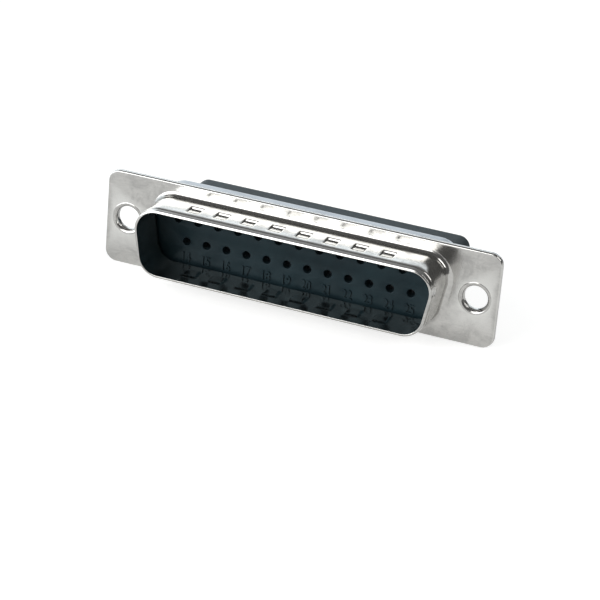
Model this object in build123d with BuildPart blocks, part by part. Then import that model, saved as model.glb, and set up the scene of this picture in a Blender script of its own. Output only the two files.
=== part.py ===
"""25-way male D-subminiature housing for crimp contacts, supplied without its contacts.

Two drawn steel shells are clamped round one moulded insulator by a rolled eyelet in each ear.
X runs along the flange, Z points up towards the wide row of contacts, and the shroud faces -Y.
The origin is midway between the two mounting holes, on the front face of the flange.
"""
import os
from math import cos, radians, sqrt, tan

from build123d import *

# Contact grid
contact_pitch = 2.77
row_pitch = 2.84
wide_row_count = 13
narrow_row_count = wide_row_count - 1

# Sheet of both shells
sheet = 0.4
edge_break = 0.1
flange_corner = 1.6

# Flange and mounting holes
flange_border = 2.095
hole_margin = 4.04
ear_margin = 3.0

# Shroud, measured inside
end_margin = 2.86
side_margin = 2.76
shroud_corner = 2.6
shroud_depth = 6.0
side_slant = 10
root_bend = 0.55

# Mouth of the shroud, thinned on the outside
mouth_taper = 1.2
mouth_drop = 0.15
mouth_break = 0.1

# Grounding dents
dents_in_row = 8
dent_pitch = 3.68
dent_length = 1.65
dent_width = 1.75
dent_depth = 0.33
dent_setback = 2.88
dent_draft = 24
dent_wall = 0.12

# Pan of the rear shell
pan_depth = 4.15
pan_corner = 3.2
pan_bend = 0.55
pan_root = 0.5

# Insulator
ledge = 0.45
face_setback = 0.35
block_end_wall = 1.18
block_side_wall = 0.47
block_corner = 1.5
block_projection = 7.3
block_edge = 0.2
pin_bore = 1.1
pin_bore_length = 1.6
entry_bore = 2.1

# Eyelets
eyelet_bore = 3.1
eyelet_wall = 0.3
eyelet_ring = 0.28
eyelet_head = 0.15
eyelet_roll = 0.3
eyelet_lead = 0.13

# Room between pieces
fit_clearance = 0.05
shell_gap = 0.04

# Closest that two levels lie before they count as one
touch = 0.001

# Sizes that follow from the ones above. A 45 degree bend of even sheet differs by bend_change
# between its two faces
bend_change = sheet * (2 - sqrt(2))
grid_length = narrow_row_count * contact_pitch
shroud_length = grid_length + 2 * end_margin
shroud_height = row_pitch + 2 * side_margin
hole_spacing = shroud_length + 2 * hole_margin
flange_length = hole_spacing + 2 * ear_margin
flange_height = shroud_height + 2 * flange_border
holder_length = shroud_length + 2 * ledge
holder_height = shroud_height + 2 * ledge
pan_wall = fit_clearance + sheet
pan_length = holder_length + 2 * pan_wall
pan_height = holder_height + 2 * pan_wall
rear_face = sheet + shell_gap
pan_back = rear_face + pan_depth
block_length = grid_length + entry_bore + 2 * block_end_wall
block_height = row_pitch + entry_bore + 2 * block_side_wall
block_back = pan_back + block_projection
barrel_diameter = eyelet_bore + 2 * eyelet_wall
ear_hole = barrel_diameter + 2 * fit_clearance
stack_thickness = rear_face + sheet


def behind(distance):
    """Plane across the connector at a distance behind the front face of the flange, facing forward."""
    return Plane.XZ.offset(-distance)


def keyed_outline(length, height, corner):
    """A trapezoid with its long side up and four equal round corners."""
    slant = radians(side_slant)
    top = length / 2 - corner + corner * (tan(slant) + 1 / cos(slant))
    bottom = top - height * tan(slant)
    with BuildSketch() as outline:
        with BuildLine():
            Polyline((-bottom, -height / 2), (bottom, -height / 2),
                     (top, height / 2), (-top, height / 2), close=True)
        make_face()
        fillet(outline.vertices(), corner)
    return outline.sketch


def flange_outline():
    """The flange with its two ear holes."""
    with BuildSketch() as outline:
        RectangleRounded(flange_length, flange_height, flange_corner)
        with GridLocations(hole_spacing, 1, 2, 1):
            Circle(ear_hole / 2, mode=Mode.SUBTRACT)
    return outline.sketch


def loop_at(part, distance, inner=False):
    """Edges round the largest flat face at a distance behind the flange front, or round the hole in it."""
    faces = part.faces().filter_by(Axis.Y).filter_by_position(Axis.Y, distance - touch, distance + touch)
    face = faces.sort_by(SortBy.AREA)[-1]
    if not inner:
        return face.outer_wire().edges()
    return face.inner_wires().sort_by(SortBy.LENGTH)[-1].edges()


def contact_places():
    """Centres of the contacts: the wide row above, the narrow row below, staggered by half a pitch."""
    for count, height in ((wide_row_count, row_pitch / 2), (narrow_row_count, -row_pitch / 2)):
        for index in range(count):
            yield ((index - (count - 1) / 2) * contact_pitch, height)


# Form of one grounding dent, looking in from the outside of the wall at Z = 0
dent_slope = dent_depth * tan(radians(dent_draft))
with BuildPart() as dent_pocket:
    for depth, inset in ((0, 0), (dent_depth, dent_slope)):
        with BuildSketch(Plane.XY.offset(depth)):
            Rectangle(dent_length - 2 * inset, dent_width - 2 * inset)
    loft()
with BuildPart() as dent_bump:
    for depth, inset in ((sheet / 2, 0), (sheet + dent_depth, dent_slope)):
        with BuildSketch(Plane.XY.offset(depth)):
            Rectangle(dent_length + 2 * (dent_wall - inset), dent_width + 2 * (dent_wall - inset))
    loft()

# Front shell: flange, shroud drawn forward from it, flared root, thinned mouth
outer_top = shroud_height / 2 + sheet
with BuildPart() as front_shell:
    with BuildSketch(behind(sheet)):
        add(flange_outline())
    extrude(amount=sheet)
    with BuildSketch(behind(0)):
        add(keyed_outline(shroud_length + 2 * sheet, shroud_height + 2 * sheet, shroud_corner + sheet))
    extrude(amount=shroud_depth)
    chamfer(loop_at(front_shell.part, 0, inner=True), root_bend)
    chamfer(loop_at(front_shell.part, 0), edge_break)
    front_end = front_shell.faces().sort_by(Axis.Y)[0]
    chamfer(front_end.edges(), mouth_drop, mouth_taper, reference=front_end)
    chamfer(front_shell.faces().sort_by(Axis.Y)[0].edges(), mouth_break)
    with BuildSketch(behind(-shroud_depth)):
        add(keyed_outline(shroud_length, shroud_height, shroud_corner))
    extrude(amount=-(shroud_depth + sheet), mode=Mode.SUBTRACT)
    chamfer(loop_at(front_shell.part, sheet, inner=True), root_bend + bend_change)

    # Grounding dents, pressed in from outside and standing out as bumps inside
    for side in (1, -1):
        wall = Plane((0, dent_setback - shroud_depth, side * outer_top), (1, 0, 0), (0, 0, -side))
        with Locations(wall):
            with GridLocations(dent_pitch, 1, dents_in_row, 1):
                add(dent_bump.part)
                add(dent_pocket.part, mode=Mode.SUBTRACT)

# Rear shell: flange, pan drawn backward from it, opening in the pan's floor
with BuildPart() as rear_shell:
    with BuildSketch(behind(rear_face + sheet)):
        add(flange_outline())
    extrude(amount=sheet)
    with BuildSketch(behind(rear_face + sheet)):
        add(keyed_outline(pan_length, pan_height, pan_corner))
    extrude(amount=-(pan_depth - sheet))
    chamfer(loop_at(rear_shell.part, rear_face + sheet, inner=True), pan_root)
    chamfer(loop_at(rear_shell.part, rear_face + sheet), edge_break)
    chamfer(rear_shell.faces().sort_by(Axis.Y)[-1].edges(), pan_bend)
    with BuildSketch(behind(rear_face)):
        add(keyed_outline(pan_length - 2 * sheet, pan_height - 2 * sheet, pan_corner - sheet))
    extrude(amount=-(pan_depth - sheet), mode=Mode.SUBTRACT)
    chamfer(loop_at(rear_shell.part, pan_back - sheet), pan_bend - bend_change)
    chamfer(loop_at(rear_shell.part, rear_face, inner=True), pan_root + bend_change)
    with BuildSketch(behind(pan_back)):
        add(keyed_outline(block_length + 2 * fit_clearance, block_height + 2 * fit_clearance,
                          block_corner + fit_clearance))
    extrude(amount=sheet, mode=Mode.SUBTRACT)

# Insulator: holder that fills the pan, rear block, stepped contact cavities
holder_front = face_setback
holder_back = pan_back - sheet - fit_clearance
with BuildPart() as insulator:
    with BuildSketch(behind(holder_back)):
        add(keyed_outline(holder_length, holder_height, pan_corner - pan_wall))
    extrude(amount=holder_back - holder_front)
    chamfer(insulator.faces().sort_by(Axis.Y)[-1].edges(), pan_bend - bend_change)
    with BuildSketch(behind(block_back)):
        add(keyed_outline(block_length, block_height, block_corner))
    extrude(amount=block_back - holder_back)
    chamfer(insulator.faces().sort_by(Axis.Y)[-1].edges(), block_edge)
    with BuildSketch(behind(holder_front)):
        with Locations(*contact_places()):
            Circle(pin_bore / 2)
    extrude(amount=-pin_bore_length, mode=Mode.SUBTRACT)
    with BuildSketch(behind(block_back)):
        with Locations(*contact_places()):
            Circle(entry_bore / 2)
    extrude(amount=block_back - holder_front - pin_bore_length, mode=Mode.SUBTRACT)

# Eyelet: a tube through both ears with a low head in front and a rolled end behind, whose bore is a
# mounting hole
bore_side = eyelet_bore / 2
barrel_side = barrel_diameter / 2
ring_side = barrel_side + eyelet_ring
head_front = -eyelet_head
roll_back = stack_thickness + eyelet_roll
with BuildPart() as eyelet:
    with BuildSketch() as section:
        with BuildLine():
            Polyline((bore_side, head_front), (ring_side, head_front), (ring_side, 0), (barrel_side, 0),
                     (barrel_side, stack_thickness), (ring_side, stack_thickness), (ring_side, roll_back),
                     (bore_side, roll_back), close=True)
        make_face()
        chamfer(section.vertices().group_by(Axis.X)[0], eyelet_lead)
    revolve(axis=Axis.Y)

eyelets = {}
for name, side in (("left_eyelet", -1), ("right_eyelet", 1)):
    with BuildPart() as placed:
        with Locations((side * hole_spacing / 2, 0, 0)):
            add(eyelet.part)
    eyelets[name] = placed

pieces = {"front_shell": front_shell, "rear_shell": rear_shell, "insulator": insulator, **eyelets}
os.makedirs("parts", exist_ok=True)
for name, piece in pieces.items():
    piece.part.label = name
    export_step(piece.part, f"parts/{name}.step")
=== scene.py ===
"""Looks of a 25-way D-sub plug housing for crimp contacts, built round its packed CAD model.

Lengths are in metres in the frame of the CAD model: X along the flange, Z up towards the wide row
of contacts, and the shroud facing -Y. The origin is midway between the two mounting holes, on the
front face of the flange.
"""
from math import cos, degrees, pi, radians, sin, tan

import bmesh
import bpy
from mathutils import Euler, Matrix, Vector
from mathutils.geometry import tessellate_polygon


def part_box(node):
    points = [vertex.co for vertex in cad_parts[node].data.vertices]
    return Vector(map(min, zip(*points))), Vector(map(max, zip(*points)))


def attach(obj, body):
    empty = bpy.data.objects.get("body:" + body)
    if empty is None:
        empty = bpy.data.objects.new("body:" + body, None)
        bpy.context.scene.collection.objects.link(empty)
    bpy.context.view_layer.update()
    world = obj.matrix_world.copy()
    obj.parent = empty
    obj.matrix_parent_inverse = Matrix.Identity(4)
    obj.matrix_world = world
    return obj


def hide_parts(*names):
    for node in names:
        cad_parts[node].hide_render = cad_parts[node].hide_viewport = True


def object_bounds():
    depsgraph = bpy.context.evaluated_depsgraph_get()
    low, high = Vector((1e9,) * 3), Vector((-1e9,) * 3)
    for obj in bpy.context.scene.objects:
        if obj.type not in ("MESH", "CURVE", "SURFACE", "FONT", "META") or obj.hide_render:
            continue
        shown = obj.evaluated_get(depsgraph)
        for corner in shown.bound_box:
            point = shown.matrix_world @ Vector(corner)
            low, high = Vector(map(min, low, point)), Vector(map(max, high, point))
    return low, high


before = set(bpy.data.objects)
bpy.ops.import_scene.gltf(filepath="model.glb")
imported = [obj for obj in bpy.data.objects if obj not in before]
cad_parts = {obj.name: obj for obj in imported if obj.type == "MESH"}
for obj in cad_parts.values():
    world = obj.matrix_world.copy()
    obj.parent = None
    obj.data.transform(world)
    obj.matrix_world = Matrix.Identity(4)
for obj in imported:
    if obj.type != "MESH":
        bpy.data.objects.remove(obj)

bl_info = {
    "name": "D-sub plug housing",
    "version": (1, 0, 0),
    "blender": (4, 5, 0),
    "location": "View3D > Sidebar > D-sub housing",
    "description": "Builds a 25-way D-sub plug housing for crimp contacts and a pale studio round it",
    "category": "Object",
}

MM = 0.001

# Where the packed solids begin and end
FRONT_LOW, FRONT_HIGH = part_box("front_shell")
REAR_LOW, REAR_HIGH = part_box("rear_shell")
INSULATOR_LOW, INSULATOR_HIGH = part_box("insulator")
EYELET_LOW, EYELET_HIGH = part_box("right_eyelet")
FLOOR_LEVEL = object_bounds()[0].z

FLANGE_LENGTH = FRONT_HIGH.x - FRONT_LOW.x
FLANGE_HEIGHT = FRONT_HIGH.z - FRONT_LOW.z
SHEET = FRONT_HIGH.y
SHROUD_DEPTH = -FRONT_LOW.y
REAR_FACE = REAR_LOW.y
CLEARANCE = REAR_FACE - SHEET
STACK_BACK = REAR_FACE + SHEET
PAN_BACK = REAR_HIGH.y
HOLDER_LENGTH = INSULATOR_HIGH.x - INSULATOR_LOW.x
HOLDER_HEIGHT = INSULATOR_HIGH.z - INSULATOR_LOW.z
HOLDER_FRONT = INSULATOR_LOW.y
BLOCK_BACK = INSULATOR_HIGH.y
HOLE_REACH = (EYELET_LOW.x + EYELET_HIGH.x) / 2
EYELET_RADIUS = (EYELET_HIGH.x - EYELET_LOW.x) / 2
EYELET_BACK = EYELET_HIGH.y

# How finely round forms are divided
CORNER_STEPS = 12
BORE_STEPS = 32
EYELET_STEPS = 72
BEND_STEPS = 8
EDGE_STEPS = 3
LIP_STEPS = 7

# Where faces divide at a dent, in millimetres outwards from its edge: columns at each flank, and rows
# at the steep side near the flange. Even rows come before them, from a lead ahead of the dent
DENT_COLUMNS = (0.3, 0.18, 0.08, 0.0, -0.06, -0.12, -0.18, -0.26, -0.38)
DENT_ROWS = (-0.42, -0.36, -0.31, -0.26, -0.22, -0.18, -0.14, -0.1, -0.06, -0.03,
             0.0, 0.03, 0.06, 0.1, 0.15, 0.22)
DENT_RAMP_ROWS = 18
DENT_LEAD = 0.45 * MM

# Where the cone of an eyelet's head divides, as shares of the way from its brim to its crest
EYELET_CONE = (0.0, 0.3, 0.6, 0.85)

# Width of the flat strip beside a bend, which keeps the large flats shaded flat
SUPPORT = 0.15 * MM
SHARP_ANGLE = radians(32)

# How tall the font's numerals are for a size of 1, and how closely and narrowly they are set
FONT_HEIGHT = 0.7
NUMERAL_SPACING = 0.92
NUMERAL_WIDTH = 0.86

# Closer than this, points of a seam count as one
WELD = 0.0001 * MM

# Ridges between these angles go from untouched to rubbed
RIDGE_LOW = radians(16)
RIDGE_HIGH = radians(40)

# Sockets of a Mix node, whose names don't tell its kinds apart
NUMBER_A, NUMBER_B = 2, 3
COLOUR_A, COLOUR_B, COLOUR_RESULT = 6, 7, 2


def linear(hex_colour):
    """A colour written as an sRGB hex value, as linear RGBA."""
    values = [int(hex_colour[place:place + 2], 16) / 255 for place in (0, 2, 4)]
    return (*(v / 12.92 if v <= 0.04045 else ((v + 0.055) / 1.055) ** 2.4 for v in values), 1.0)


def length(name, description, millimetres):
    """A size that shows in the sidebar."""
    return bpy.props.FloatProperty(
        name=name, description=description, default=millimetres * MM, min=0.0,
        precision=5, unit="LENGTH", subtype="DISTANCE")


def angle(name, description, in_degrees):
    """An angle that shows in the sidebar."""
    return bpy.props.FloatProperty(
        name=name, description=description, default=radians(in_degrees), subtype="ANGLE")


def strength(name, description, value):
    """A power or brightness that shows in the sidebar."""
    return bpy.props.FloatProperty(name=name, description=description, default=value)


def number_of(name, description, value, least):
    """A count that shows in the sidebar."""
    return bpy.props.IntProperty(name=name, description=description, default=value, min=least)


def colour(name, description, hex_colour):
    """A colour that shows in the sidebar."""
    return bpy.props.FloatVectorProperty(
        name=name, description=description, default=linear(hex_colour), size=4,
        min=0.0, max=1.0, subtype="COLOR")


class ShellSizes(bpy.types.PropertyGroup):
    """Sizes of the two drawn shells."""
    shroud_length: length("Shroud length", "Inside length of the keyed shroud", 38.96)
    shroud_height: length("Shroud height", "Inside height of the keyed shroud", 8.36)
    shroud_corner: length("Shroud corner", "Inside corner radius of the keyed shroud", 2.6)
    slant: angle("Slant", "Lean of the keyed ends", 10)
    root: length("Root radius", "Radius where the shroud leaves the flange", 0.66)
    mouth_taper: length("Mouth taper", "Length of the drawn-in lip", 0.86)
    mouth_drop: length("Mouth drop", "How far the lip is drawn in", 0.1)
    coin: length("Coining step", "Step at which the thinned lip begins", 0.035)
    lip_round: length("Lip round", "Rounding of the lip outside", 0.06)
    lip_inside: length("Lip inside", "Rounding of the lip inside", 0.04)
    lip_trim: angle("Lip trim", "Slant of the trimmed edge of the lip", 20)
    flange_corner: length("Flange corner", "Corner radius of the flange", 1.6)
    rim_round: length("Rim round", "Die roll on the rim of each flange", 0.12)
    rim_lean: length("Rim lean", "How far the sheared rim leans in at the die roll", 0.05)
    burr_round: length("Burr round", "Rounding of the sheared side of each rim", 0.03)
    ear_hole: length("Ear hole", "Hole for the eyelet in each ear", 3.8)
    pan_length: length("Pan length", "Outside length of the rear pan", 40.76)
    pan_height: length("Pan height", "Outside height of the rear pan", 10.46)
    pan_corner: length("Pan corner", "Outside corner radius of the rear pan", 3.2)
    pan_bend: length("Pan bend", "Radius where the pan turns into its floor", 0.5)
    pan_root: length("Pan root", "Radius where the pan leaves its flange", 0.5)


class DentSizes(bpy.types.PropertyGroup):
    """Sizes of the grounding dents in the long walls of the shroud."""
    count: number_of("Count", "Dents in each long wall", 8, 1)
    pitch: length("Pitch", "Distance between dents", 3.68)
    length: length("Length", "Size of a dent along the wall", 1.68)
    width: length("Width", "Size of a dent across the wall", 1.9)
    depth: length("Depth", "Greatest depth of a dent", 0.32)
    setback: length("Setback", "Middle of the dents behind the mouth", 2.84)
    ramp: angle("Ramp", "Slope of the floor, which falls towards the flange", 5.5)
    tail: length("Tail", "Depth of the floor at the mouth side", 0.12)
    front: angle("Front", "Slope of the side near the mouth", 35)
    back: angle("Back", "Slope of the short side near the flange", 68)
    flank: angle("Flank", "Slope of the two flanks", 60)
    blend: length("Blend", "Rounding between the slopes", 0.12)
    shoulder: length("Shoulder", "Rounding where a dent meets the wall", 0.3)
    wall: length("Wall", "How much wider the bump is inside", 0.12)


class InsulatorSizes(bpy.types.PropertyGroup):
    """Sizes of the moulded insulator."""
    pitch: length("Contact pitch", "Distance between contacts in a row", 2.77)
    row_pitch: length("Row pitch", "Distance between the two rows", 2.84)
    wide_row: number_of("Wide row", "Contacts in the wide row", 13, 2)
    holder_corner: length("Holder corner", "Corner radius of the part held in the pan", 2.75)
    holder_bend: length("Holder bend", "Rounding of the rear edge of that part", 0.35)
    block_length: length("Block length", "Length of the rear block", 37.7)
    block_height: length("Block height", "Height of the rear block", 5.88)
    block_corner: length("Block corner", "Corner radius of the rear block", 1.5)
    block_edge: length("Block edge", "Rounding of the rear edge of the block", 0.2)
    pin_bore: length("Pin bore", "Hole for the pin, in the front face", 1.1)
    pin_bore_length: length("Pin bore length", "Depth of the pin hole", 1.6)
    chamber: length("Chamber", "Bore that holds the contact", 1.75)
    chamber_length: length("Chamber length", "Depth of the bore that holds the contact", 4.2)
    entry: length("Entry", "Bore through which a contact is pushed in", 2.1)
    entry_chamfer: length("Entry chamfer", "Lead-in of the entry bore", 0.14)
    pin_lead: length("Pin lead", "Rounded edge of the pin hole", 0.05)


class EyeletSizes(bpy.types.PropertyGroup):
    """Sizes of the two rolled eyelets."""
    bore: length("Bore", "Bore of the eyelet", 3.1)
    wall: length("Wall", "Wall of the barrel", 0.3)
    crown: length("Crown", "How far the head stands out of the flange", 0.035)
    mouth: length("Mouth", "Radius of the rounded way into the bore", 0.5)
    brim: length("Brim", "Height of the outer rim above the flange", 0.01)


class NumeralSizes(bpy.types.PropertyGroup):
    """Sizes of the moulded contact numbers."""
    height: length("Height", "Height of a numeral", 1.2)
    drop: length("Drop", "From the middle of a contact hole to the middle of its number", 2.15)
    relief: length("Relief", "How far a number stands out of the face", 0.15)
    bold: length("Bold", "How much each side of a stroke is widened", 0.025)


class FinishColours(bpy.types.PropertyGroup):
    """Colours of the finishes and the stage."""
    tin: colour("Tin plate", "Bright tin over steel", "d2d1ce")
    tin_haze: colour("Tin haze", "Handled, hazy patches of the plate", "b4b3b1")
    zinc: colour("Zinc plate", "Blue-passivated zinc over steel", "a8abaf")
    zinc_haze: colour("Zinc haze", "Greyer patches of the zinc", "9b9ea2")
    metal_wear: colour("Worn metal", "Rubbed edges of either plate", "ebebe8")
    nylon: colour("Nylon", "Black glass-filled nylon", "112026")
    nylon_bloom: colour("Nylon bloom", "Greyer glass near the moulded skin", "1e3036")
    nylon_wear: colour("Worn nylon", "Edges where the skin is rubbed", "39454b")
    floor: colour("Floor", "Pale floor", "cccccb")


class StageSizes(bpy.types.PropertyGroup):
    """Sizes and strengths of the studio."""
    floor_side: length("Floor side", "Half the side of the floor", 900.0)
    softbox_distance: length("Softbox distance", "From the object to the softbox", 600.0)
    softbox_width: length("Softbox width", "Width of the softbox", 580.0)
    softbox_height: length("Softbox height", "Height of the softbox", 500.0)
    softbox_lift: angle("Softbox lift", "Angle of the softbox above the mating direction", 23)
    softbox_turn: angle("Softbox turn", "Angle of the softbox to the left of the mating direction", 35)
    softbox_power: strength("Softbox power", "Power of the softbox in watts", 2.6)
    fill_side: length("Fill side", "Side of the smaller softbox at the right", 380.0)
    fill_power: strength("Fill power", "Power of the smaller softbox at the right, in watts", 1.5)
    backdrop: strength("Backdrop", "Brightness of the white backdrop", 1.42)
    wall_above: strength("Wall above", "Brightness of the wall just above the backdrop", 0.24)
    room: strength("Room", "Brightness of the dim room overhead and at the right", 0.12)


# Camera of the photograph, fitted to the contact holes, the mouth, the ears and the flange
CAMERA_PLACE = Vector((92.54, -249.757, 109.937)) * MM
CAMERA_TURN = Euler((radians(66.445), radians(-4.616), radians(22.153)), "XYZ")
CAMERA_LENS = 138.12

# Where the smaller softbox stands, in the same terms as the large one, and the colour of both
FILL_TURN = radians(-100)
FILL_LIFT = radians(42)
LIGHT_COLOUR = (1.0, 0.995, 0.985)

# What the metal sees round it: a white backdrop up to a height, fading into a wall that dims upwards.
# Both lie on one side of the object and end softly. Heights are written as sines
BACKDROP_FADE = (sin(radians(25)), sin(radians(33)))
WALL_TOP = sin(radians(60))
BACKDROP_SIDE = (-0.96, 0.28, 0.0)
SIDE_BLUR = 0.15
COOL_WHITE = (0.88, 0.95, 1.0, 1.0)

# How bright the paper of the floor is to the camera, and the share of that which the metal sees
FLOOR_GLOW = 0.68
FLOOR_GLOSSY = 0.5


def group(name):
    """One of the property groups of this scene."""
    return getattr(bpy.context.scene, name)


def add_node(tree, kind, links=None, **settings):
    """Adds a node, sets its properties, and fills inputs with values or with other nodes' outputs."""
    node = tree.nodes.new(kind)
    for name, value in settings.items():
        setattr(node, name, value)
    for key, value in (links or {}).items():
        if isinstance(value, bpy.types.Node):
            value = value.outputs[0]
        if isinstance(value, bpy.types.NodeSocket):
            tree.links.new(value, node.inputs[key])
        else:
            node.inputs[key].default_value = value
    return node


def keyed_rim(length, height, corner, slant=0.0, stations=()):
    """Points round a keyed outline, each as (x, z, outward x, outward z), anticlockwise from the front.

    The long walls also get a point at each of the stations along X. With no slant the outline is a
    rounded rectangle."""
    half_top = length / 2 - corner + corner * (tan(slant) + 1 / cos(slant))
    reach = half_top * cos(slant) - height / 2 * sin(slant) - corner
    lift = height / 2 - corner
    turns = (-slant, pi / 2, pi + slant, 3 * pi / 2, 2 * pi - slant)
    rim = []
    for turn, (across, up) in enumerate(((1, 1), (-1, 1), (-1, -1), (1, -1))):
        x, z = across * (reach + up * lift * sin(slant)) / cos(slant), up * lift
        for step in range(CORNER_STEPS + 1):
            facing = turns[turn] + (turns[turn + 1] - turns[turn]) * step / CORNER_STEPS
            rim.append((x + corner * cos(facing), z + corner * sin(facing), cos(facing), sin(facing)))
        if turn % 2 == 0:
            rim += [(station, up * height / 2, 0.0, up) for station in sorted(stations, reverse=up > 0)]
    return rim


def round_rim(x, z, radius, steps):
    """Points round a circle, each as (x, z, outward x, outward z)."""
    turns = [2 * pi * step / steps for step in range(steps)]
    return [(x + radius * cos(t), z + radius * sin(t), cos(t), sin(t)) for t in turns]


def bend(offset, y, radius, start, end, steps):
    """Points of a profile along an arc, from start to end in degrees, as (offset, y)."""
    turns = [radians(start + (end - start) * step / steps) for step in range(steps + 1)]
    return [(offset + radius * cos(t), y + radius * sin(t)) for t in turns]


def sweep(bm, rim, profile, closed=False):
    """Sweeps a profile of (offset, y) points round a rim and returns the rings of vertices."""
    rings = [[bm.verts.new((x + out_x * offset, y, z + out_z * offset)) for x, z, out_x, out_z in rim]
             for offset, y in profile]
    followers = rings[1:] + rings[:1] if closed else rings[1:]
    for ring, follower in zip(rings, followers):
        for here in range(len(ring)):
            bm.faces.new((ring[here - 1], ring[here], follower[here], follower[here - 1]))
    return rings


def fill(bm, *rings):
    """Fills a flat between an outer ring and the rings of its holes."""
    verts = [vert for ring in rings for vert in ring]
    for corners in tessellate_polygon([[vert.co for vert in ring] for ring in rings]):
        bm.faces.new([verts[corner] for corner in corners])


def shade(mesh):
    """Shades a mesh smooth but for its sharp edges, and marks how rubbed each point is.

    A point is rubbed where faces meet at a sharp ridge, as on rims and lips."""
    mesh.shade_smooth()
    mesh.set_sharp_from_angle(angle=SHARP_ANGLE)
    bm = bmesh.new()
    bm.from_mesh(mesh)
    ridges = [max([edge.calc_face_angle_signed(0.0) for edge in vert.link_edges], default=0.0)
              for vert in bm.verts]
    bm.free()
    rubbed = mesh.attributes.new("rubbed", "FLOAT", "POINT")
    rubbed.data.foreach_set("value", [min(max((ridge - RIDGE_LOW) / (RIDGE_HIGH - RIDGE_LOW), 0.0), 1.0)
                                      for ridge in ridges])


def as_object(name, mesh, material=None):
    """Links a mesh as an object at the origin."""
    mesh.name = name
    shade(mesh)
    if material:
        mesh.materials.clear()
        mesh.materials.append(material)
    piece = bpy.data.objects.new(name, mesh)
    bpy.context.scene.collection.objects.link(piece)
    return piece


def to_mesh(bm, name):
    """Turns a closed bmesh into a mesh whose faces point outwards."""
    bmesh.ops.recalc_face_normals(bm, faces=bm.faces)
    open_edges = [edge for edge in bm.edges if not edge.is_manifold]
    if open_edges:
        raise RuntimeError(f"{name} has {len(open_edges)} open edges")
    if bm.calc_volume(signed=True) < 0:
        bmesh.ops.reverse_faces(bm, faces=bm.faces)
    mesh = bpy.data.meshes.new(name)
    bm.to_mesh(mesh)
    bm.free()
    return mesh


def run_tree(piece, tree, values):
    """Runs a Geometry Nodes tree on a piece and leaves its result as the piece's plain mesh."""
    modifier = piece.modifiers.new(tree.name, "NODES")
    modifier.node_group = tree
    for item in tree.interface.items_tree:
        if item.item_type == "SOCKET" and item.in_out == "INPUT" and item.name in values:
            modifier[item.identifier] = values[item.name]
    result = bpy.data.meshes.new_from_object(piece.evaluated_get(bpy.context.evaluated_depsgraph_get()))
    piece.modifiers.remove(modifier)
    old = piece.data
    piece.data = result
    bpy.data.meshes.remove(old)
    result.name = piece.name
    if "rubbed" in result.attributes:
        result.attributes.remove(result.attributes["rubbed"])
    shade(result)


def new_tree(name, sockets):
    """A Geometry Nodes tree with named inputs, given as {name: socket type}."""
    tree = bpy.data.node_groups.new(name, "GeometryNodeTree")
    tree.interface.new_socket("Geometry", in_out="INPUT", socket_type="NodeSocketGeometry")
    tree.interface.new_socket("Geometry", in_out="OUTPUT", socket_type="NodeSocketGeometry")
    for title, kind in sockets.items():
        tree.interface.new_socket(title, in_out="INPUT", socket_type=kind)
    return tree


def dress(piece, body_node):
    """Hides the CAD part that a finished piece stands for and hangs the piece on the root body."""
    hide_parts(body_node)
    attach(piece, "root")


# Finishes

def bright_plate(name, plate, haze, line_mm, cloud_mm):
    """Bright plate on cold-rolled steel.

    The eye gets a soft mirror: short streaks along the rolled strip, cloudy patches where the plate was
    handled, a slight wave of the drawn sheet, and brighter metal on rubbed edges. The streaks of the
    real strip are finer than a pixel, so they are drawn coarser."""
    material = bpy.data.materials.new(name)
    material.use_nodes = True
    tree = material.node_tree
    shader = tree.nodes["Principled BSDF"]
    place = add_node(tree, "ShaderNodeTexCoord").outputs["Object"]
    along = add_node(tree, "ShaderNodeMapping", {"Vector": place, "Scale": (0.2, 1.0, 1.0)})
    lines = add_node(tree, "ShaderNodeTexNoise",
                     {"Vector": along, "Scale": 1 / (line_mm * MM), "Detail": 3.0, "Roughness": 0.65})
    cloud = add_node(tree, "ShaderNodeTexNoise",
                     {"Vector": place, "Scale": 1 / (cloud_mm * MM), "Detail": 6.0, "Roughness": 0.72,
                      "Distortion": 0.5})
    cloudy = add_node(tree, "ShaderNodeMapRange",
                      {"Value": cloud, "From Min": 0.42, "From Max": 0.66}, interpolation_type="SMOOTHSTEP")
    streaks = add_node(tree, "ShaderNodeMath", {0: lines, 1: 1.4, 2: cloudy}, operation="MULTIPLY_ADD")
    hazy = add_node(tree, "ShaderNodeMapRange", {"Value": streaks, "From Min": 0.45, "From Max": 1.9})
    tint = add_node(tree, "ShaderNodeMix", {"Factor": hazy, COLOUR_A: plate, COLOUR_B: haze},
                    data_type="RGBA")
    rubbed = add_node(tree, "ShaderNodeAttribute", attribute_name="rubbed").outputs["Fac"]
    worn = add_node(tree, "ShaderNodeMix",
                    {"Factor": rubbed, COLOUR_A: tint.outputs[COLOUR_RESULT],
                     COLOUR_B: group("housing_colours").metal_wear}, data_type="RGBA")
    tree.links.new(worn.outputs[COLOUR_RESULT], shader.inputs["Base Color"])
    rough = add_node(tree, "ShaderNodeMapRange", {"Value": hazy, "To Min": 0.13, "To Max": 0.22})
    tree.links.new(rough.outputs[0], shader.inputs["Roughness"])
    wave = add_node(tree, "ShaderNodeTexNoise",
                    {"Vector": place, "Scale": 1 / (2.2 * MM), "Detail": 1.0, "Roughness": 0.5})
    drawn = add_node(tree, "ShaderNodeBump", {"Height": wave, "Strength": 0.4, "Distance": 0.018 * MM})
    tree.links.new(drawn.outputs[0], shader.inputs["Normal"])
    shader.inputs["Metallic"].default_value = 1.0
    return material


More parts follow.
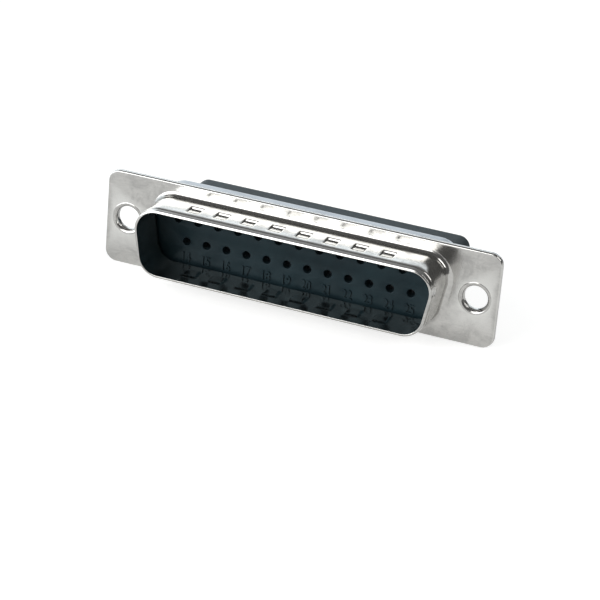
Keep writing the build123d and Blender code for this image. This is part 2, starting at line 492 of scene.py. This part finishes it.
def filled_nylon():
    """Black glass-filled nylon, injection moulded.

    The eye gets a satin slate black with a fine grain where glass fibres lie under the skin, and a
    faint grey bloom where the melt flowed."""
    finish = group("housing_colours")
    material = bpy.data.materials.new("moulded_glass_filled_nylon")
    material.use_nodes = True
    tree = material.node_tree
    shader = tree.nodes["Principled BSDF"]
    place = add_node(tree, "ShaderNodeTexCoord").outputs["Object"]
    flow = add_node(tree, "ShaderNodeTexNoise",
                    {"Vector": place, "Scale": 1 / (6 * MM), "Detail": 4.0, "Roughness": 0.6,
                     "Distortion": 0.8})
    bloom = add_node(tree, "ShaderNodeMapRange", {"Value": flow, "From Min": 0.35, "From Max": 0.75})
    skin = add_node(tree, "ShaderNodeMix",
                    {"Factor": bloom, COLOUR_A: finish.nylon, COLOUR_B: finish.nylon_bloom},
                    data_type="RGBA")
    rubbed = add_node(tree, "ShaderNodeAttribute", attribute_name="rubbed").outputs["Fac"]
    worn = add_node(tree, "ShaderNodeMix",
                    {"Factor": rubbed, COLOUR_A: skin.outputs[COLOUR_RESULT],
                     COLOUR_B: finish.nylon_wear}, data_type="RGBA")
    tree.links.new(worn.outputs[COLOUR_RESULT], shader.inputs["Base Color"])
    grain = add_node(tree, "ShaderNodeTexNoise",
                     {"Vector": place, "Scale": 1 / (0.16 * MM), "Detail": 3.0, "Roughness": 0.7})
    satin = add_node(tree, "ShaderNodeMapRange",
                     {"Value": grain, "From Min": 0.3, "From Max": 0.7, "To Min": 0.36, "To Max": 0.5})
    tree.links.new(satin.outputs[0], shader.inputs["Roughness"])
    grained = add_node(tree, "ShaderNodeBump", {"Height": grain, "Strength": 0.35, "Distance": 0.01 * MM})
    tree.links.new(grained.outputs[0], shader.inputs["Normal"])
    shader.inputs["IOR"].default_value = 1.52
    shader.inputs["Specular IOR Level"].default_value = 0.22
    # Painted reflection: the blue tint of the nylon's reflections stands in for the bluish surroundings it
    # reflects
    shader.inputs["Specular Tint"].default_value = (0.82, 0.95, 1.0, 1.0)
    return material


def finish_of(name):
    """The material of that name, made the first time it is asked for."""
    paint = group("housing_colours")
    makers = {
        "tin_plated_drawn_steel": lambda: bright_plate(
            name, paint.tin, paint.tin_haze, line_mm=0.24, cloud_mm=2.6),
        "zinc_plated_drawn_steel": lambda: bright_plate(
            name, paint.zinc, paint.zinc_haze, line_mm=0.24, cloud_mm=3.4),
        "tin_plated_rolled_eyelet": lambda: bright_plate(
            name, paint.tin, paint.tin_haze, line_mm=0.2, cloud_mm=1.4),
        "moulded_glass_filled_nylon": filled_nylon,
    }
    return bpy.data.materials.get(name) or makers[name]()


# Shells

def flange_rim_profile(front, back, rolled, lean, sheared):
    """Profile round the rim of a flange, from its die-rolled face to its sheared face."""
    side = 1 if back > front else -1
    return ([(-rolled - lean - SUPPORT, front)]
            + bend(-rolled - lean, front + side * rolled, rolled, -90 * side, -8 * side, EDGE_STEPS)
            + bend(-sheared, back - side * sheared, sheared, 0, 90 * side, EDGE_STEPS)
            + [(-sheared - SUPPORT, back)])


def ear_rings(bm, ear_hole, front, back):
    """Walls of the two ear holes. Returns their front rings and their back rings."""
    walls = [sweep(bm, round_rim(side * HOLE_REACH, 0, ear_hole / 2, EYELET_STEPS), [(0, front), (0, back)])
             for side in (-1, 1)]
    return [wall[0] for wall in walls], [wall[1] for wall in walls]


def dent_stations(dents):
    """Places along X that give each dent columns of faces, close together at its flanks."""
    half = dents.length / 2
    near = [half + place * MM for place in DENT_COLUMNS]
    places = [-place for place in near] + [0.0] + near[::-1]
    first = -(dents.count - 1) / 2 * dents.pitch
    return [first + index * dents.pitch + place for index in range(dents.count) for place in places]


def dent_tree():
    """Presses rows of dents into the long walls of a shroud by moving its points."""
    floats = ("Pitch", "Count", "Length", "Width", "Depth", "Middle", "Ramp", "Tail", "Front", "Back",
              "Flank", "Blend", "Shoulder", "Wall", "Wall height", "Sheet")
    tree = new_tree("Pressed dents", dict.fromkeys(floats, "NodeSocketFloat")
                    | {"Material": "NodeSocketMaterial"})
    given = add_node(tree, "NodeGroupInput").outputs
    spot = add_node(tree, "ShaderNodeSeparateXYZ", {0: add_node(tree, "GeometryNodeInputPosition")})
    x, y, z = spot.outputs

    # How far a point lies from the middle of its own dent, sideways along the row and forward of it
    last = add_node(tree, "ShaderNodeMath", {0: given["Count"], 1: 1.0}, operation="SUBTRACT")
    half_row = add_node(tree, "ShaderNodeMath", {0: last, 1: 0.5}, operation="MULTIPLY")
    steps = add_node(tree, "ShaderNodeMath", {0: x, 1: given["Pitch"]}, operation="DIVIDE")
    index = add_node(tree, "ShaderNodeMath", {0: steps, 1: half_row}, operation="ADD")
    nearest = add_node(tree, "ShaderNodeMath", {0: index}, operation="ROUND")
    own = add_node(tree, "ShaderNodeClamp", {"Value": nearest, "Min": 0.0, "Max": last})
    apart = add_node(tree, "ShaderNodeMath", {0: index, 1: own}, operation="SUBTRACT")
    away = add_node(tree, "ShaderNodeMath", {0: apart, 1: given["Pitch"]}, operation="MULTIPLY")
    sideways = add_node(tree, "ShaderNodeMath", {0: away}, operation="ABSOLUTE")
    forward = add_node(tree, "ShaderNodeMath", {0: y, 1: given["Middle"]}, operation="SUBTRACT")

    # The bump inside the shroud is wider by the wall than the dent outside
    height = add_node(tree, "ShaderNodeMath", {0: z}, operation="ABSOLUTE")
    under = add_node(tree, "ShaderNodeMath", {0: given["Wall height"], 1: height}, operation="SUBTRACT")
    share = add_node(tree, "ShaderNodeMath", {0: under, 1: given["Sheet"]},
                     operation="DIVIDE", use_clamp=True)
    wider = add_node(tree, "ShaderNodeMath", {0: share, 1: given["Wall"]}, operation="MULTIPLY")
    half_length = add_node(tree, "ShaderNodeMath", {0: given["Length"], 1: 0.5, 2: wider},
                           operation="MULTIPLY_ADD")
    half_width = add_node(tree, "ShaderNodeMath", {0: given["Width"], 1: 0.5, 2: wider},
                          operation="MULTIPLY_ADD")

    # Depth under the floor and each of the four slopes, the least of which is the form of the dent
    to_flank = add_node(tree, "ShaderNodeMath", {0: half_length, 1: sideways}, operation="SUBTRACT")
    to_mouth = add_node(tree, "ShaderNodeMath", {0: half_width, 1: forward}, operation="ADD")
    to_flange = add_node(tree, "ShaderNodeMath", {0: half_width, 1: forward}, operation="SUBTRACT")
    form = given["Depth"]
    for run, side, rest in ((to_flank, "Flank", 0.0), (to_mouth, "Front", 0.0),
                            (to_mouth, "Ramp", given["Tail"]), (to_flange, "Back", 0.0)):
        rise = add_node(tree, "ShaderNodeMath", {0: given[side]}, operation="TANGENT")
        slope = add_node(tree, "ShaderNodeMath", {0: run, 1: rise, 2: rest}, operation="MULTIPLY_ADD")
        form = add_node(tree, "ShaderNodeMath", {0: form, 1: slope, 2: given["Blend"]},
                        operation="SMOOTH_MIN")
    pressed = add_node(tree, "ShaderNodeMath", {0: form, 1: 0.0, 2: given["Shoulder"]},
                       operation="SMOOTH_MAX")
    inward = add_node(tree, "ShaderNodeMath", {0: z}, operation="SIGN")
    fall = add_node(tree, "ShaderNodeMath", {0: pressed, 1: inward}, operation="MULTIPLY")
    drop = add_node(tree, "ShaderNodeMath", {0: fall, 1: -1.0}, operation="MULTIPLY")
    move = add_node(tree, "ShaderNodeCombineXYZ", {"Z": drop})
    moved = add_node(tree, "GeometryNodeSetPosition", {"Geometry": given["Geometry"], "Offset": move})
    real = add_node(tree, "GeometryNodeRealizeInstances", {0: moved})
    painted = add_node(tree, "GeometryNodeSetMaterial", {"Geometry": real, "Material": given["Material"]})
    add_node(tree, "NodeGroupOutput", {0: painted})
    return tree


class BuildFrontShell(bpy.types.Operator):
    """Make the front shell: flange, drawn shroud with its lip, and pressed grounding dents"""
    bl_idname = "dsub_housing.front_shell"
    bl_label = "Front shell"

    def execute(self, context):
        size = group("housing_shells")
        dents = group("housing_dents")
        dent_middle = dents.setback - SHROUD_DEPTH
        rear_edge = dent_middle + dents.width / 2
        fine_rows = [rear_edge + place * MM for place in DENT_ROWS]
        start = rear_edge - dents.width - DENT_LEAD
        dent_rows = [start + (fine_rows[0] - start) * row / DENT_RAMP_ROWS
                     for row in range(DENT_RAMP_ROWS)] + fine_rows
        lip_start = size.mouth_taper - SHROUD_DEPTH
        lip_edge = SHEET - size.mouth_drop - size.lip_round
        lip_back = (size.lip_inside + (lip_edge - size.lip_inside) * tan(size.lip_trim)
                    + (size.lip_round - size.lip_inside) / cos(size.lip_trim))
        lip_fall = size.mouth_taper - lip_back
        trim = degrees(size.lip_trim) - 90

        # The coined step falls over twice its own height, with a softened upper edge
        lip = [(SHEET, lip_start), (SHEET - 0.2 * size.coin, lip_start - 0.6 * size.coin)]
        lip += [(SHEET - size.coin - (size.mouth_drop - size.coin) * step / LIP_STEPS,
                 lip_start - 2 * size.coin - (lip_fall - 2 * size.coin) * step / LIP_STEPS)
                for step in range(LIP_STEPS + 1)]
        outside = SHEET + size.root
        profile = (
            [(outside + SUPPORT, 0)]
            + bend(outside, -size.root, size.root, 90, 180, BEND_STEPS)
            + [(SHEET, -size.root - SUPPORT)]
            + [(SHEET, y) for y in reversed(dent_rows)]
            + lip
            + bend(lip_edge, lip_back - SHROUD_DEPTH, size.lip_round, 0, trim, EDGE_STEPS + 1)[1:]
            + bend(size.lip_inside, size.lip_inside - SHROUD_DEPTH, size.lip_inside, trim, -180, EDGE_STEPS)
            + [(0, size.lip_inside + SUPPORT - SHROUD_DEPTH)]
            + [(0, y) for y in dent_rows]
            + [(0, -size.root - SUPPORT)]
            + bend(outside, -size.root, outside, 180, 90, BEND_STEPS + 4)
            + [(outside + SUPPORT, SHEET)])
        bm = bmesh.new()
        shroud = sweep(bm, keyed_rim(size.shroud_length, size.shroud_height, size.shroud_corner, size.slant,
                                     dent_stations(dents)), profile)
        edge = sweep(bm, keyed_rim(FLANGE_LENGTH, FLANGE_HEIGHT, size.flange_corner),
                     flange_rim_profile(0, SHEET, size.rim_round, size.rim_lean, size.burr_round))
        front_holes, back_holes = ear_rings(bm, size.ear_hole, 0, SHEET)
        fill(bm, edge[0], shroud[0], *front_holes)
        fill(bm, edge[-1], shroud[-1], *back_holes)
        piece = as_object("drawn_front_shell", to_mesh(bm, "drawn_front_shell"))
        run_tree(piece, dent_tree(), {
            "Pitch": dents.pitch, "Count": float(dents.count), "Length": dents.length,
            "Width": dents.width, "Depth": dents.depth, "Middle": dent_middle, "Ramp": dents.ramp,
            "Tail": dents.tail, "Front": dents.front, "Back": dents.back, "Flank": dents.flank,
            "Blend": dents.blend, "Shoulder": dents.shoulder, "Wall": dents.wall,
            "Wall height": size.shroud_height / 2 + SHEET, "Sheet": SHEET,
            "Material": finish_of("tin_plated_drawn_steel")})
        dress(piece, "front_shell")
        return {"FINISHED"}


class BuildRearShell(bpy.types.Operator):
    """Make the rear shell: flange and the pan drawn back from it, with its opening"""
    bl_idname = "dsub_housing.rear_shell"
    bl_label = "Rear shell"

    def execute(self, context):
        size = group("housing_shells")
        moulding = group("housing_insulator")
        inner_bend = size.pan_bend - SHEET
        inner_root = size.pan_root + SHEET
        bm = bmesh.new()
        pan = keyed_rim(size.pan_length, size.pan_height, size.pan_corner, size.slant)
        outside = sweep(bm, pan, (
            [(size.pan_root + SUPPORT, STACK_BACK)]
            + bend(size.pan_root, STACK_BACK + size.pan_root, size.pan_root, -90, -180, BEND_STEPS)
            + [(0, STACK_BACK + size.pan_root + SUPPORT), (0, PAN_BACK - size.pan_bend - SUPPORT)]
            + bend(-size.pan_bend, PAN_BACK - size.pan_bend, size.pan_bend, 0, 90, BEND_STEPS)
            + [(-size.pan_bend - SUPPORT, PAN_BACK)]))
        inside = sweep(bm, pan, (
            [(size.pan_root + SUPPORT, REAR_FACE)]
            + bend(size.pan_root, REAR_FACE + inner_root, inner_root, -90, -180, BEND_STEPS)
            + bend(-size.pan_bend, PAN_BACK - size.pan_bend, inner_bend, 0, 90, BEND_STEPS)))
        opening = sweep(bm, keyed_rim(moulding.block_length + 2 * CLEARANCE,
                                      moulding.block_height + 2 * CLEARANCE,
                                      moulding.block_corner + CLEARANCE, size.slant),
                        [(SUPPORT, PAN_BACK), (0, PAN_BACK - size.burr_round), (0, PAN_BACK - SHEET)])
        edge = sweep(bm, keyed_rim(FLANGE_LENGTH, FLANGE_HEIGHT, size.flange_corner),
                     flange_rim_profile(STACK_BACK, REAR_FACE, size.rim_round, size.rim_lean,
                                        size.burr_round))
        front_holes, back_holes = ear_rings(bm, size.ear_hole, REAR_FACE, STACK_BACK)
        fill(bm, edge[0], outside[0], *back_holes)
        fill(bm, edge[-1], inside[0], *front_holes)
        fill(bm, outside[-1], opening[0])
        fill(bm, inside[-1], opening[-1])
        piece = as_object("drawn_rear_shell", to_mesh(bm, "drawn_rear_shell"),
                          finish_of("zinc_plated_drawn_steel"))
        dress(piece, "rear_shell")
        return {"FINISHED"}


# Insulator

def contact_places(size):
    """Each contact's number and its place as (number, x, z): wide row above, narrow row below."""
    number = 0
    for row, count in ((1, size.wide_row), (-1, size.wide_row - 1)):
        for index in range(count):
            number += 1
            yield number, (index - (count - 1) / 2) * size.pitch, row * size.row_pitch / 2


def cavity_lining(size):
    """Wall of one stepped contact cavity, from the pin hole in front to the entry behind."""
    bm = bmesh.new()
    pin, chamber, entry = size.pin_bore / 2, size.chamber / 2, size.entry / 2
    pin_end = HOLDER_FRONT + size.pin_bore_length
    chamber_end = pin_end + size.chamber_length
    cone = 0.25 * MM
    profile = (bend(pin + size.pin_lead, HOLDER_FRONT + size.pin_lead, size.pin_lead, -90, -180, EDGE_STEPS)
               + [(pin, pin_end), (chamber, pin_end + cone), (chamber, chamber_end),
                  (entry, chamber_end + cone), (entry, BLOCK_BACK - size.entry_chamfer),
                  (entry + size.entry_chamfer, BLOCK_BACK)])
    sweep(bm, round_rim(0, 0, 0, BORE_STEPS), profile)
    mesh = bpy.data.meshes.new("cavity_lining")
    bm.to_mesh(mesh)
    bm.free()
    return mesh


def cavity_tree():
    """Lines every contact cavity: sets the lining on two staggered rows and joins it to the body."""
    tree = new_tree("Contact cavities", {
        "Lining": "NodeSocketObject", "Pitch": "NodeSocketFloat", "Row pitch": "NodeSocketFloat",
        "Wide row": "NodeSocketInt", "Weld": "NodeSocketFloat", "Material": "NodeSocketMaterial"})
    given = add_node(tree, "NodeGroupInput").outputs
    lining = add_node(tree, "GeometryNodeObjectInfo", {"Object": given["Lining"]}).outputs["Geometry"]
    step = add_node(tree, "ShaderNodeCombineXYZ", {"X": given["Pitch"]})
    rows = []
    for side, fewer in ((0.5, 0.0), (-0.5, 1.0)):
        count = add_node(tree, "ShaderNodeMath", {0: given["Wide row"], 1: fewer}, operation="SUBTRACT")
        spans = add_node(tree, "ShaderNodeMath", {0: count, 1: 1.0}, operation="SUBTRACT")
        reach = add_node(tree, "ShaderNodeMath", {0: spans, 1: given["Pitch"]}, operation="MULTIPLY")
        start = add_node(tree, "ShaderNodeMath", {0: reach, 1: -0.5}, operation="MULTIPLY")
        lift = add_node(tree, "ShaderNodeMath", {0: given["Row pitch"], 1: side}, operation="MULTIPLY")
        first = add_node(tree, "ShaderNodeCombineXYZ", {"X": start, "Z": lift})
        row = add_node(tree, "GeometryNodeMeshLine",
                       {"Count": count, "Start Location": first, "Offset": step})
        rows.append(add_node(tree, "GeometryNodeInstanceOnPoints",
                             {"Points": row, "Instance": lining}))
    joined = add_node(tree, "GeometryNodeJoinGeometry", {0: given["Geometry"]})
    for row in rows:
        tree.links.new(row.outputs[0], joined.inputs[0])
    real = add_node(tree, "GeometryNodeRealizeInstances", {0: joined})
    welded = add_node(tree, "GeometryNodeMergeByDistance", {"Geometry": real, "Distance": given["Weld"]})
    painted = add_node(tree, "GeometryNodeSetMaterial", {"Geometry": welded, "Material": given["Material"]})
    add_node(tree, "NodeGroupOutput", {0: painted})
    return tree


class BuildInsulator(bpy.types.Operator):
    """Make the moulded insulator: the part held in the pan, the rear block and 25 stepped cavities"""
    bl_idname = "dsub_housing.insulator"
    bl_label = "Insulator"

    def execute(self, context):
        size = group("housing_insulator")
        slant = group("housing_shells").slant
        holder_back = PAN_BACK - SHEET - CLEARANCE
        front_edge = 0.08 * MM

        # The entry bores leave little room beside the edge of the block
        block_support = 0.3 * SUPPORT
        bm = bmesh.new()
        holder = sweep(bm, keyed_rim(HOLDER_LENGTH, HOLDER_HEIGHT, size.holder_corner, slant), (
            [(-front_edge - SUPPORT, HOLDER_FRONT)]
            + bend(-front_edge, HOLDER_FRONT + front_edge, front_edge, -90, 0, EDGE_STEPS)
            + bend(-size.holder_bend, holder_back - size.holder_bend, size.holder_bend, 0, 90, EDGE_STEPS)
            + [(-size.holder_bend - SUPPORT, holder_back)]))
        block = sweep(bm, keyed_rim(size.block_length, size.block_height, size.block_corner, slant), (
            [(0, holder_back), (0, PAN_BACK), (0, BLOCK_BACK - size.block_edge - SUPPORT)]
            + bend(-size.block_edge, BLOCK_BACK - size.block_edge, size.block_edge, 0, 90, EDGE_STEPS + 1)
            + [(-size.block_edge - block_support, BLOCK_BACK)]))
        hole_rings = []
        for radius, y in ((size.pin_bore / 2 + size.pin_lead, HOLDER_FRONT),
                          (size.entry / 2 + size.entry_chamfer, BLOCK_BACK)):
            hole_rings.append([[bm.verts.new((hole_x, y, hole_z)) for hole_x, hole_z, *_ in
                                round_rim(x, z, radius, BORE_STEPS)] for _, x, z in contact_places(size)])
        fill(bm, holder[0], *hole_rings[0])
        fill(bm, holder[-1], block[0])
        fill(bm, block[-1], *hole_rings[1])
        body = bpy.data.meshes.new("insulator_body")
        bm.to_mesh(body)
        bm.free()
        piece = as_object("moulded_insulator", body)
        lining = as_object("cavity_lining", cavity_lining(size))
        run_tree(piece, cavity_tree(), {
            "Lining": lining, "Pitch": size.pitch, "Row pitch": size.row_pitch, "Wide row": size.wide_row,
            "Weld": WELD, "Material": finish_of("moulded_glass_filled_nylon")})
        bpy.data.objects.remove(lining)
        welded = bmesh.new()
        welded.from_mesh(piece.data)
        replacement = to_mesh(welded, "moulded_insulator")
        replacement.materials.append(finish_of("moulded_glass_filled_nylon"))
        shade(replacement)
        piece.data = replacement
        dress(piece, "insulator")
        return {"FINISHED"}


class BuildContactNumbers(bpy.types.Operator):
    """Make the raised contact numbers on the front face, 1 to 13 above and 14 to 25 below"""
    bl_idname = "dsub_housing.contact_numbers"
    bl_label = "Contact numbers"

    def execute(self, context):
        size = group("housing_numerals")
        bm = bmesh.new()
        for number, x, z in contact_places(group("housing_insulator")):
            words = bpy.data.curves.new("number", "FONT")
            words.body = str(number)
            words.align_x = "CENTER"
            words.align_y = "CENTER"
            words.size = size.height / FONT_HEIGHT
            words.space_character = NUMERAL_SPACING
            words.extrude = size.relief
            words.offset = size.bold
            words.resolution_u = 3
            text = bpy.data.objects.new("number", words)
            mesh = bpy.data.meshes.new_from_object(text)
            middle = z + size.drop * (1 if z > 0 else -1)
            start = len(bm.verts)
            bm.from_mesh(mesh)
            bm.verts.ensure_lookup_table()
            for vert in bm.verts[start:]:
                across, up, out = vert.co
                vert.co = (x + across * NUMERAL_WIDTH, HOLDER_FRONT - out, middle + up)
            bpy.data.objects.remove(text)
            bpy.data.curves.remove(words)
            bpy.data.meshes.remove(mesh)
        bmesh.ops.remove_doubles(bm, verts=bm.verts, dist=WELD)
        piece = as_object("contact_numbers", to_mesh(bm, "contact_numbers"),
                          finish_of("moulded_glass_filled_nylon"))

        # Nothing rubs the numbers so deep in the shroud
        unworn = [0.0] * len(piece.data.vertices)
        piece.data.attributes["rubbed"].data.foreach_set("value", unworn)
        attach(piece, "root")
        return {"FINISHED"}


# Eyelets

class BuildEyelets(bpy.types.Operator):
    """Make the two eyelets, rolled over at both ends, whose bores are the mounting holes"""
    bl_idname = "dsub_housing.eyelets"
    bl_label = "Eyelets"

    def execute(self, context):
        size = group("housing_eyelets")
        bore = size.bore / 2
        barrel = bore + size.wall
        crest = bore + size.mouth
        roll = EYELET_BACK - STACK_BACK
        rise = size.crown - size.brim
        cone = [(EYELET_RADIUS + (crest - EYELET_RADIUS) * part, -size.brim - rise * sin(part * pi / 2))
                for part in EYELET_CONE]
        profile = (
            [(EYELET_RADIUS, 0)] + cone
            + bend(crest, size.mouth - size.crown, size.mouth, -90, -180, BEND_STEPS + 2)
            + bend(bore + roll, EYELET_BACK - roll, roll, 180, 90, BEND_STEPS)
            + bend(EYELET_RADIUS - roll / 2, STACK_BACK + roll / 2, roll / 2, 90, -90, BEND_STEPS)
            + [(barrel, STACK_BACK), (barrel, 0)])
        for name, side in (("left_eyelet", -1), ("right_eyelet", 1)):
            bm = bmesh.new()
            sweep(bm, round_rim(side * HOLE_REACH, 0, 0, EYELET_STEPS), profile, closed=True)
            piece = as_object(f"rolled_{name}", to_mesh(bm, name), finish_of("tin_plated_rolled_eyelet"))
            dress(piece, name)
        return {"FINISHED"}


# Studio

class BuildStage(bpy.types.Operator):
    """Make the camera of the photograph, the pale floor, the two softboxes and the backdrop"""
    bl_idname = "dsub_housing.stage"
    bl_label = "Stage"

    def execute(self, context):
        size = group("housing_stage")
        scene = context.scene
        scene.view_settings.view_transform = "Standard"

        camera = bpy.data.objects.new("camera", bpy.data.cameras.new("camera"))
        camera.location = CAMERA_PLACE
        camera.rotation_euler = CAMERA_TURN
        camera.data.lens = CAMERA_LENS
        camera.data.clip_start = 10 * MM
        scene.collection.objects.link(camera)
        scene.camera = camera

        side = size.floor_side
        mesh = bpy.data.meshes.new("floor")
        mesh.from_pydata([(-side, -side, FLOOR_LEVEL), (side, -side, FLOOR_LEVEL),
                          (side, side, FLOOR_LEVEL), (-side, side, FLOOR_LEVEL)], [], [(0, 1, 2, 3)])
        mesh.materials.append(self.floor_paint())
        floor = bpy.data.objects.new("floor", mesh)
        scene.collection.objects.link(floor)

        self.soft_light(scene, "softbox", size.softbox_width, size.softbox_height, size.softbox_power,
                        size.softbox_turn, size.softbox_lift, size.softbox_distance)
        self.soft_light(scene, "side_softbox", size.fill_side, size.fill_side, size.fill_power,
                        FILL_TURN, FILL_LIFT, size.softbox_distance)
        self.backdrop(scene, size)
        return {"FINISHED"}

    def soft_light(self, scene, name, width, height, watts, turn, lift, distance):
        """A rectangular soft light that faces the object, turned to the left of the mating direction."""
        light = bpy.data.lights.new(name, "AREA")
        light.shape = "RECTANGLE"
        light.size = width
        light.size_y = height
        light.energy = watts
        light.color = LIGHT_COLOUR
        lamp = bpy.data.objects.new(name, light)
        toward = Vector((-sin(turn) * cos(lift), -cos(turn) * cos(lift), sin(lift)))
        lamp.location = toward * distance
        lamp.rotation_euler = toward.to_track_quat("Z", "Y").to_euler()
        scene.collection.objects.link(lamp)

    def floor_paint(self):
        """Matt white paper, which shows as pure white where nothing shades it."""
        material = bpy.data.materials.new("matt_white_paper")
        material.use_nodes = True
        tree = material.node_tree
        shader = tree.nodes["Principled BSDF"]
        shader.inputs["Base Color"].default_value = group("housing_colours").floor
        shader.inputs["Roughness"].default_value = 0.9
        shader.inputs["Specular IOR Level"].default_value = 0.2
        ray = add_node(tree, "ShaderNodeLightPath").outputs
        seen = add_node(tree, "ShaderNodeMath",
                        {0: ray["Is Glossy Ray"], 1: FLOOR_GLOSSY, 2: ray["Is Camera Ray"]},
                        operation="MULTIPLY_ADD")
        glow = add_node(tree, "ShaderNodeMath", {0: seen, 1: FLOOR_GLOW}, operation="MULTIPLY")
        tree.links.new(glow.outputs[0], shader.inputs["Emission Strength"])
        shader.inputs["Emission Color"].default_value = (1, 1, 1, 1)
        return material

    def backdrop(self, scene, size):
        """White behind and to the left up to about 30 degrees, a greyer wall above it, a dim room
        elsewhere, and white to the camera."""
        world = bpy.data.worlds.new("studio")
        scene.world = world
        world.use_nodes = True
        tree = world.node_tree
        background = tree.nodes["Background"]
        way = add_node(tree, "ShaderNodeTexCoord").outputs["Generated"]
        height = add_node(tree, "ShaderNodeSeparateXYZ", {0: way}).outputs["Z"]
        low = add_node(tree, "ShaderNodeMapRange",
                       {"Value": height, "From Min": BACKDROP_FADE[0], "From Max": BACKDROP_FADE[1],
                        "To Min": 1.0, "To Max": 0.0}, interpolation_type="SMOOTHSTEP")
        behind = add_node(tree, "ShaderNodeVectorMath", {0: way, 1: BACKDROP_SIDE},
                          operation="DOT_PRODUCT")
        wall = add_node(tree, "ShaderNodeMapRange",
                        {"Value": behind.outputs["Value"], "From Min": -SIDE_BLUR, "From Max": SIDE_BLUR},
                        interpolation_type="SMOOTHSTEP")
        lit = add_node(tree, "ShaderNodeMath", {0: low, 1: wall}, operation="MULTIPLY")
        above = add_node(tree, "ShaderNodeMapRange",
                         {"Value": height, "From Min": BACKDROP_FADE[1], "From Max": WALL_TOP,
                          "To Min": size.wall_above, "To Max": size.room})
        dim = add_node(tree, "ShaderNodeMix", {0: wall, NUMBER_A: size.room, NUMBER_B: above})
        bright = add_node(tree, "ShaderNodeMix", {0: lit, NUMBER_A: dim, NUMBER_B: size.backdrop})
        ray = add_node(tree, "ShaderNodeLightPath").outputs["Is Camera Ray"]
        seen = add_node(tree, "ShaderNodeMix", {0: ray, NUMBER_A: bright, NUMBER_B: 1.0})
        tree.links.new(seen.outputs[0], background.inputs["Strength"])
        cool = add_node(tree, "ShaderNodeMath", {0: 1.0, 1: ray}, operation="SUBTRACT")
        cool_and_lit = add_node(tree, "ShaderNodeMath", {0: cool, 1: lit}, operation="MULTIPLY")
        shade_of_white = add_node(tree, "ShaderNodeMix",
                                  {"Factor": cool_and_lit, COLOUR_A: (1.0, 1.0, 1.0, 1.0),
                                   COLOUR_B: COOL_WHITE}, data_type="RGBA")
        tree.links.new(shade_of_white.outputs[COLOUR_RESULT], background.inputs["Color"])


OPERATORS = (BuildStage, BuildFrontShell, BuildRearShell, BuildInsulator, BuildContactNumbers, BuildEyelets)

GROUPS = {
    "housing_shells": ShellSizes,
    "housing_dents": DentSizes,
    "housing_insulator": InsulatorSizes,
    "housing_eyelets": EyeletSizes,
    "housing_numerals": NumeralSizes,
    "housing_colours": FinishColours,
    "housing_stage": StageSizes,
}


class HousingPanel(bpy.types.Panel):
    """Lists the pieces of the housing and their sizes"""
    bl_idname = "VIEW3D_PT_dsub_housing"
    bl_label = "D-sub plug housing"
    bl_space_type = "VIEW_3D"
    bl_region_type = "UI"
    bl_category = "D-sub housing"

    def draw(self, context):
        for operator in OPERATORS:
            self.layout.operator(operator.bl_idname)
        for name, kind in GROUPS.items():
            box = self.layout.box()
            box.label(text=kind.__doc__)
            for prop in kind.__annotations__:
                box.prop(getattr(context.scene, name), prop)


def register():
    for kind in (*GROUPS.values(), *OPERATORS, HousingPanel):
        bpy.utils.register_class(kind)
    for name, kind in GROUPS.items():
        setattr(bpy.types.Scene, name, bpy.props.PointerProperty(type=kind))


def unregister():
    for name in GROUPS:
        delattr(bpy.types.Scene, name)
    for kind in (HousingPanel, *reversed(OPERATORS), *reversed(GROUPS.values())):
        bpy.utils.unregister_class(kind)


def main():
    register()
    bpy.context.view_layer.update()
    for operator in OPERATORS:
        area, name = operator.bl_idname.split(".")
        getattr(getattr(bpy.ops, area), name)()


if __name__ == "__main__":
    main()
